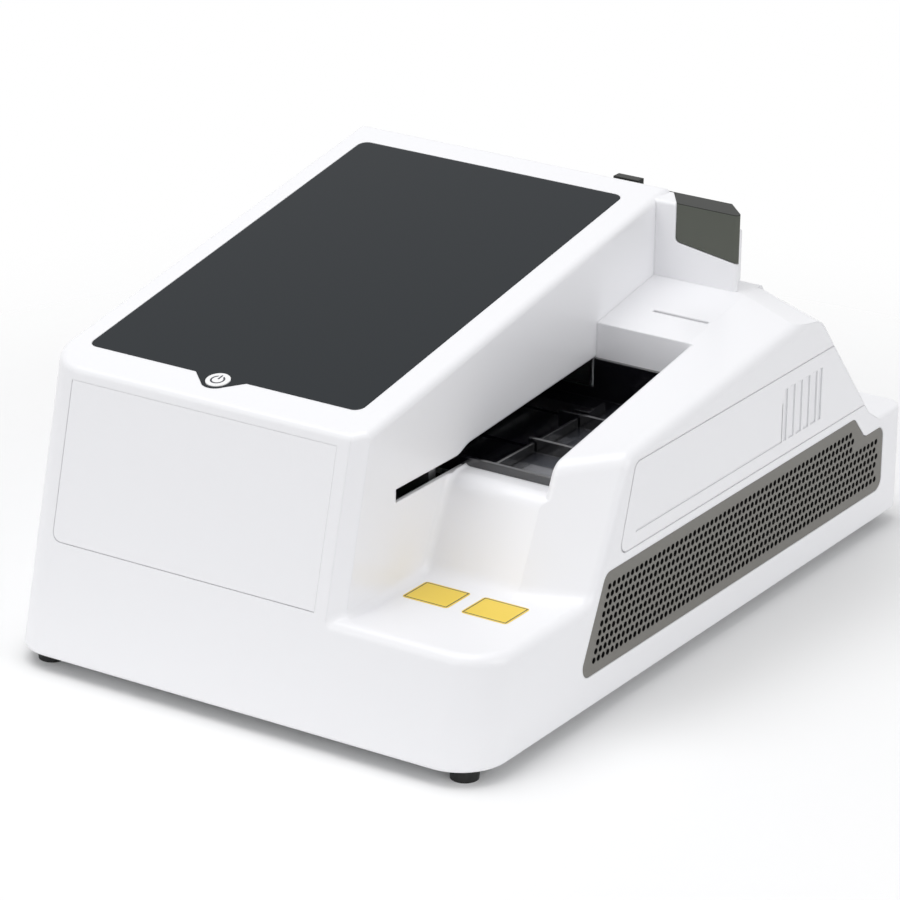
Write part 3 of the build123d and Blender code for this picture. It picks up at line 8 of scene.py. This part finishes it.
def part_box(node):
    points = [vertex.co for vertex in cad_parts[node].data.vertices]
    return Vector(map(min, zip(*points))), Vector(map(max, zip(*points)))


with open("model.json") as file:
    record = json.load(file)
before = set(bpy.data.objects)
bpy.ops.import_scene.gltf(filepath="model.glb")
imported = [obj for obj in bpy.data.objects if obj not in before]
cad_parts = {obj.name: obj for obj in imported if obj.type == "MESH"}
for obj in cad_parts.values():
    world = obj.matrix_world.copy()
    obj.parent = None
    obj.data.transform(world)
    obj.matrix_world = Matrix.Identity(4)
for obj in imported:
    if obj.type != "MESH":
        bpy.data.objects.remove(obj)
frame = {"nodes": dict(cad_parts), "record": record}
nodes = frame["nodes"]
scene = bpy.context.scene
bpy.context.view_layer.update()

# ---- camera, fitted to the object's corners and edges in the photo ------------------------------------
photo_pixels = 900
focal_pixels = 4506.6
azimuth = radians(32.642)
elevation = radians(21.384)
roll = radians(0.8434)
tub_corner = Vector((0.139, -0.212, 0.008))    # front and right faces meet here, before rounding
tub_corner_pixel = (475.8, 783.5)
tub_corner_depth = 2.0976
sensor_width = 36
clip_end = 60

back = Vector((sin(azimuth) * cos(elevation), -cos(azimuth) * cos(elevation), sin(elevation)))
right = Vector((cos(azimuth), sin(azimuth), 0))
up = back.cross(right)
camera_x = right * cos(roll) + up * sin(roll)
camera_y = -right * sin(roll) + up * cos(roll)
shift_right = (tub_corner_pixel[0] - photo_pixels / 2) / focal_pixels
shift_down = (tub_corner_pixel[1] - photo_pixels / 2) / focal_pixels
to_tub_corner = camera_x * shift_right - camera_y * shift_down - back

camera = bpy.data.objects.new("camera", bpy.data.cameras.new("camera"))
scene.collection.objects.link(camera)
turn = Matrix((camera_x, camera_y, back)).transposed().to_4x4()
camera.matrix_world = Matrix.Translation(tub_corner - to_tub_corner * tub_corner_depth) @ turn
camera.data.sensor_width = sensor_width
camera.data.lens = focal_pixels * sensor_width / photo_pixels
camera.data.clip_end = clip_end
scene.camera = camera


# ---- node helpers ----------------------------------------------------------------------------------
class Number:
    """A number in a node tree. A formula of numbers becomes a chain of Math nodes."""

    def __init__(self, tree, socket):
        self.tree = tree
        self.socket = socket

    def calc(self, operation, other=None):
        node = self.tree.nodes.new("ShaderNodeMath")
        node.operation = operation
        self.tree.links.new(self.socket, node.inputs[0])
        if isinstance(other, Number):
            self.tree.links.new(other.socket, node.inputs[1])
        elif other is not None:
            node.inputs[1].default_value = other
        return Number(self.tree, node.outputs["Value"])

    def __add__(self, other):
        return self.calc("ADD", other)

    def __sub__(self, other):
        return self.calc("SUBTRACT", other)

    def __mul__(self, other):
        return self.calc("MULTIPLY", other)

    def __abs__(self):
        return self.calc("ABSOLUTE")

    def root(self):
        return self.calc("SQRT")

    def at_least(self, other):
        return self.calc("MAXIMUM", other)

    def at_most(self, other):
        return self.calc("MINIMUM", other)

    def over(self, other):
        """1 where this number is the larger one, otherwise 0."""
        return self.calc("GREATER_THAN", other)

    def under(self, other):
        """1 where this number is the smaller one, otherwise 0."""
        return self.calc("LESS_THAN", other)

    def between(self, low, high):
        return self.over(low) * self.under(high)


def new_node(tree, kind, values=None, **settings):
    node = tree.nodes.new(kind)
    for socket, value in (values or {}).items():
        node.inputs[socket].default_value = value
    for name, value in settings.items():
        setattr(node, name, value)
    return node


def ramp(number, low, high, shape="LINEAR"):
    """0 up to low, 1 from high on."""
    node = new_node(
        number.tree,
        "ShaderNodeMapRange",
        {"From Min": low, "From Max": high},
        interpolation_type=shape,
    )
    number.tree.links.new(number.socket, node.inputs["Value"])
    return Number(number.tree, node.outputs["Result"])


def split(tree, vector):
    """The three parts of a vector as numbers."""
    parts = new_node(tree, "ShaderNodeSeparateXYZ")
    tree.links.new(vector, parts.inputs["Vector"])
    return [Number(tree, parts.outputs[axis]) for axis in "XYZ"]


def position(mat):
    """The point on the surface in metres, as three numbers."""
    return split(mat.node_tree, new_node(mat.node_tree, "ShaderNodeTexCoord").outputs["Object"])


def paint(mat, mask, color):
    """Lay a second colour over the first where the mask is 1."""
    tree = mat.node_tree
    base = tree.nodes["Principled BSDF"].inputs["Base Color"]
    mix = new_node(tree, "ShaderNodeMix", data_type="RGBA")
    share, first_color, second_color = mix.inputs[0], mix.inputs[6], mix.inputs[7]
    first_color.default_value = base.default_value
    second_color.default_value = (*color, 1)
    tree.links.new(mask.socket, share)
    tree.links.new(mix.outputs[2], base)


# ---- materials -------------------------------------------------------------------------------------
coat_rough = 0.12
edge_samples = 6
wear_noise = {"Scale": 14.0, "Detail": 3.0}
grain_noise = {"Scale": 900.0, "Detail": 4.0}
grain_depth = 0.0002
wave_noise = {"Scale": 60.0, "Detail": 2.0}
wave_depth = 0.0001
wave_stretch = (1, 40, 40)


def uneven_gloss(tree, shader, place, rough, wear):
    cloud = new_node(tree, "ShaderNodeTexNoise", wear_noise)
    limits = {"To Min": max(0.0, rough - wear), "To Max": min(1.0, rough + wear)}
    spread = new_node(tree, "ShaderNodeMapRange", limits)
    tree.links.new(place, cloud.inputs["Vector"])
    tree.links.new(cloud.outputs["Fac"], spread.inputs["Value"])
    tree.links.new(spread.outputs["Result"], shader.inputs["Roughness"])


def bumps(tree, place, normal, noise_values, strength, depth):
    """Noise laid over a normal, or over the plain surface where there is none yet."""
    noise = new_node(tree, "ShaderNodeTexNoise", noise_values)
    bump = new_node(tree, "ShaderNodeBump", {"Strength": strength, "Distance": depth})
    tree.links.new(place, noise.inputs["Vector"])
    tree.links.new(noise.outputs["Fac"], bump.inputs["Height"])
    if normal:
        tree.links.new(normal, bump.inputs["Normal"])
    return bump.outputs["Normal"]


def material(
    name,
    color,
    rough,
    metallic=0.0,
    coat=0.0,
    ior=1.45,
    transmission=0.0,
    specular=0.5,
    wear=0.03,
    edge=0.0,
    grain=0.0,
    wave=0.0,
):
    """A Principled material with slightly uneven gloss, softened edges, fine grain or brushed waves."""
    mat = bpy.data.materials.new(name)
    mat.use_nodes = True
    tree = mat.node_tree
    shader = tree.nodes["Principled BSDF"]
    shader.inputs["Base Color"].default_value = (*color, 1)
    shader.inputs["Roughness"].default_value = rough
    shader.inputs["Metallic"].default_value = metallic
    shader.inputs["IOR"].default_value = ior
    shader.inputs["Coat Weight"].default_value = coat
    shader.inputs["Coat Roughness"].default_value = coat_rough
    shader.inputs["Transmission Weight"].default_value = transmission
    shader.inputs["Specular IOR Level"].default_value = specular
    place = new_node(tree, "ShaderNodeTexCoord").outputs["Object"]
    normal = None
    if wear:
        uneven_gloss(tree, shader, place, rough, wear)
    if edge:
        normal = new_node(tree, "ShaderNodeBevel", {"Radius": edge}, samples=edge_samples).outputs["Normal"]
    if grain:
        normal = bumps(tree, place, normal, grain_noise, grain, grain_depth)
    if wave:
        stretch = new_node(tree, "ShaderNodeMapping", {"Scale": wave_stretch})
        tree.links.new(place, stretch.inputs["Vector"])
        normal = bumps(tree, stretch.outputs["Vector"], normal, wave_noise, wave, wave_depth)
    if normal:
        tree.links.new(normal, shader.inputs["Normal"])
    return mat


looks = {
    "casing": material("casing", (0.90, 0.90, 0.92), 0.34, coat=0.2, wear=0.012, grain=0.05, edge=0.0012),
    "front_panel": material("front_panel", (0.90, 0.90, 0.92), 0.34, coat=0.2, wear=0.012, grain=0.04),
    "base": material("base", (0.62, 0.63, 0.64), 0.55, grain=0.25, edge=0.0005),
    "feet": material("feet", (0.012, 0.012, 0.012), 0.6, grain=0.3, edge=0.0008),
    "screws": material("screws", (0.55, 0.55, 0.56), 0.3, metallic=1.0, wave=0.1),
    "display_glass": material(
        "display_glass", (0.004, 0.008, 0.012), 0.10, wear=0.02, ior=1.5, specular=0.13, edge=0.0004
    ),
    "display": material("display", (0.03, 0.03, 0.035), 0.5, grain=0.1),
    "sheet": material("sheet", (0.62, 0.63, 0.64), 0.38, metallic=1.0, wave=0.25, edge=0.0004),
    "button": material("button", (0.90, 0.90, 0.90), 0.28, coat=0.2, edge=0.0004),
    "board": material("board", (0.012, 0.09, 0.035), 0.42, grain=0.3),
    "vent": material("vent", (0.185, 0.178, 0.162), 0.5, grain=0.25, edge=0.0003),
    "fan": material("fan", (0.012, 0.012, 0.012), 0.5, grain=0.15, edge=0.0004),
    "sticker": material("sticker", (0.86, 0.62, 0.06), 0.38, grain=0.05),
    "tray": material("tray", (0.006, 0.006, 0.008), 0.08, coat=1.0, specular=1.0, edge=0.0008),
    "mechanism": material("mechanism", (0.02, 0.02, 0.022), 0.5, grain=0.25, edge=0.0005),
    "lens": material("lens", (0.75, 0.82, 0.88), 0.03, wear=0.0, transmission=0.9, ior=1.5),
    "aluminium": material("aluminium", (0.75, 0.76, 0.78), 0.35, metallic=1.0, wave=0.2, edge=0.0004),
    "rods": material("rods", (0.8, 0.8, 0.8), 0.14, metallic=1.0),
    "steel": material("steel", (0.6, 0.6, 0.6), 0.28, metallic=1.0, wave=0.15),
    "printer_cover": material(
        "printer_cover", (0.115, 0.122, 0.105), 0.32, specular=0.08, grain=0.03, edge=0.0006
    ),
    "platen": material("platen", (0.03, 0.03, 0.03), 0.65, grain=0.2),
    "gear": material("gear", (0.82, 0.81, 0.76), 0.5, grain=0.1),
    "paper": material("paper", (0.86, 0.86, 0.85), 0.85, grain=0.1),
    "core": material("core", (0.42, 0.30, 0.19), 0.85, grain=0.4),
    "socket": material("socket", (0.014, 0.014, 0.014), 0.42, grain=0.15, edge=0.0004),
    "port": material("port", (0.68, 0.67, 0.65), 0.3, metallic=1.0, wave=0.1),
}


# ---- second colours, placed in metres --------------------------------------------------------------
def paint_inner_shade(casing):
    """Painted shade: the casing's inner faces are coloured dark, so that its openings look like openings.
    """
    half_width = 0.139
    corner_radius = 0.024
    depth_under_skin = 0.0023
    front_lean = 0.2364
    front_at_floor = -0.2139
    screen_lean = 0.1772
    screen_inside = 0.1780
    tub_bottom, tub_top, tub_rear = 0.0105, 0.0609, 0.2099
    rear_corner_sum = 0.3435
    tower_right, tower_rear = 0.0499, 0.1019
    tower_corner_cut = 0.0405

    x, y, z = position(casing)
    behind_front = y - (z * front_lean + front_at_floor)
    beside = (abs(x) - (half_width - corner_radius)).at_least(0)
    before = (behind_front - corner_radius).at_most(0)
    within = (beside * beside + before * before).root().under(corner_radius - depth_under_skin)
    tub = z.between(tub_bottom, tub_top) * y.under(tub_rear) * (abs(x) + y).under(rear_corner_sum)
    tower = x.under(tower_right) * y.under(tower_rear) * z.under(y * screen_lean + screen_inside)
    tower = tower * (x - behind_front).under(tower_corner_cut)
    # painted shade: the inner faces of the tub and the tower get a near-black colour
    paint(casing, tub.at_least(tower) * within, (0.02, 0.02, 0.022))


def paint_cover_top_shade(cover):
    """Painted shade: the smoked cover's top is coloured darker, standing for the unlit inside seen through
    it.
    """
    top_height = 0.1962
    z = position(cover)[2]
    # painted shade on the cover's top face
    paint(cover, z.over(top_height), (0.028, 0.030, 0.027))


def darken_holes(vent):
    """The walls of the vent's holes are in shadow, and its outer face is not."""
    outer_face = 0.13862
    x = position(vent)[0]
    paint(vent, x.under(outer_face), (0.006, 0.006, 0.006))


def paint_tray_floor_reflection(tray):
    """Painted reflection: the polished floor gets a pale sheen that grows towards the white wall of the
    pod.
    """
    rails_start = 0.1075
    facing_up = 0.9
    sheen_start, sheen_end = 0.066, 0.104
    x, _, z = position(tray)
    geometry = new_node(tray.node_tree, "ShaderNodeNewGeometry")
    upward = split(tray.node_tree, geometry.outputs["True Normal"])[2]
    on_floor = upward.over(facing_up) * z.under(rails_start)
    # painted reflection of the pod's white wall on the upward floor faces
    paint(tray, on_floor * ramp(x, sheen_start, sheen_end), (0.14, 0.15, 0.18))


def border_stickers(sticker):
    """A thin dark border on the two blank stickers, which lie side by side."""
    pair_x, pair_y = 0.08875, -0.144
    half_spacing = 0.01675
    half_width, half_depth = 0.0123, 0.0103
    line = 0.0007
    x, y, _ = position(sticker)
    across = abs(abs(x - pair_x) - half_spacing)
    along = abs(y - pair_y)
    side_lines = across.between(half_width - line, half_width)
    end_lines = along.between(half_depth - line, half_depth)
    field = across.under(half_width) * along.under(half_depth)
    paint(sticker, side_lines.at_least(end_lines) * field, (0.10, 0.075, 0.03))


def mark_button(button):
    """The generic standby mark: an open ring with a stroke in its gap."""
    ring_inner, ring_outer = 0.0028, 0.0038
    gap_half_width = 0.0014
    stroke_half_width = 0.0005
    stroke_start, stroke_end = 0.0004, 0.0044
    mark_forward = 0.0005
    tilt_stretch = 1.0156
    x, y, _ = position(button)
    low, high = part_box("power_button")
    u = x - (low.x + high.x) / 2
    v = (y - ((low.y + high.y) / 2 - mark_forward)) * tilt_stretch
    in_gap = v.over(0) * abs(u).under(gap_half_width)
    ring = (u * u + v * v).root().between(ring_inner, ring_outer) * in_gap.under(0.5)
    stroke = abs(u).under(stroke_half_width) * v.between(stroke_start, stroke_end)
    paint(button, ring.at_least(stroke), (0.012, 0.014, 0.03))


paint_inner_shade(looks["casing"])
paint_cover_top_shade(looks["printer_cover"])
darken_holes(looks["vent"])
paint_tray_floor_reflection(looks["tray"])
border_stickers(looks["sticker"])
mark_button(looks["button"])

for part in frame["record"]["subparts"]:
    mesh = nodes[part["node"]].data
    mesh.materials.clear()
    mesh.materials.append(looks[part["material_slot"]])


# ---- floor, which fades into the white background --------------------------------------------------
def mix_shaders(tree, share, first, second, out):
    mix = new_node(tree, "ShaderNodeMixShader")
    tree.links.new(share.socket, mix.inputs["Fac"])
    tree.links.new(first, mix.inputs[1])
    tree.links.new(second, mix.inputs[2])
    tree.links.new(mix.outputs["Shader"], out.inputs["Surface"])


def floor_material():
    fade_start, fade_end = 0.24, 0.62
    mat = bpy.data.materials.new("floor")
    mat.use_nodes = True
    tree = mat.node_tree
    tree.nodes.clear()
    out = new_node(tree, "ShaderNodeOutputMaterial")
    pale = new_node(tree, "ShaderNodeBsdfDiffuse", {"Color": (0.97, 0.97, 0.97, 1)})
    clear = new_node(tree, "ShaderNodeBsdfTransparent")
    place = new_node(tree, "ShaderNodeTexCoord")
    length = new_node(tree, "ShaderNodeVectorMath", operation="LENGTH")
    tree.links.new(place.outputs["Object"], length.inputs[0])
    fade = ramp(Number(tree, length.outputs["Value"]), fade_start, fade_end, "SMOOTHSTEP")
    mix_shaders(tree, fade, pale.outputs["BSDF"], clear.outputs["BSDF"], out)
    return mat


floor_half = 3
floor_corners = [(-floor_half, -floor_half, 0), (floor_half, -floor_half, 0)]
floor_corners += [(floor_half, floor_half, 0), (-floor_half, floor_half, 0)]
floor_mesh = bpy.data.meshes.new("floor")
floor_mesh.from_pydata(floor_corners, [], [(0, 1, 2, 3)])
floor_mesh.materials.append(floor_material())
floor = bpy.data.objects.new("floor", floor_mesh)
scene.collection.objects.link(floor)

# ---- world: white where it is seen or mirrored, dimmer as light --------------------------------------
world = bpy.data.worlds.new("world")
scene.world = world
world.use_nodes = True
sky = world.node_tree
sky.nodes.clear()
sky_out = new_node(sky, "ShaderNodeOutputWorld")
seen = new_node(sky, "ShaderNodeBackground", {"Color": (1, 1, 1, 1), "Strength": 1.0})
room = new_node(sky, "ShaderNodeBackground", {"Color": (0.98, 0.985, 1, 1), "Strength": 0.52})
path = new_node(sky, "ShaderNodeLightPath")
is_camera, is_glossy, is_transmission = (
    Number(sky, path.outputs[f"Is {ray} Ray"]) for ray in ("Camera", "Glossy", "Transmission")
)
is_seen = is_camera.at_least(is_glossy).at_least(is_transmission)
mix_shaders(sky, is_seen, room.outputs["Background"], seen.outputs["Background"], sky_out)


# ---- lamps -----------------------------------------------------------------------------------------
aim = Vector((0, 0, 0.1))


def lamp(name, at, width, power):
    """A square lamp turned towards the object."""
    data = bpy.data.lights.new(name, "AREA")
    data.shape = "SQUARE"
    data.size = width
    data.energy = power
    obj = bpy.data.objects.new(name, data)
    scene.collection.objects.link(obj)
    obj.location = at
    obj.rotation_euler = (aim - Vector(at)).to_track_quat("-Z", "Y").to_euler()


lamp("top", (-0.5, -0.3, 2.4), width=2.0, power=27.5)
lamp("front", (-0.9, -2.3, 1.1), width=1.6, power=11)
lamp("side", (2.4, -0.2, 1.1), width=1.4, power=14.5)

# ---- view transform and end ------------------------------------------------------------------------
scene.view_settings.view_transform = "Standard"
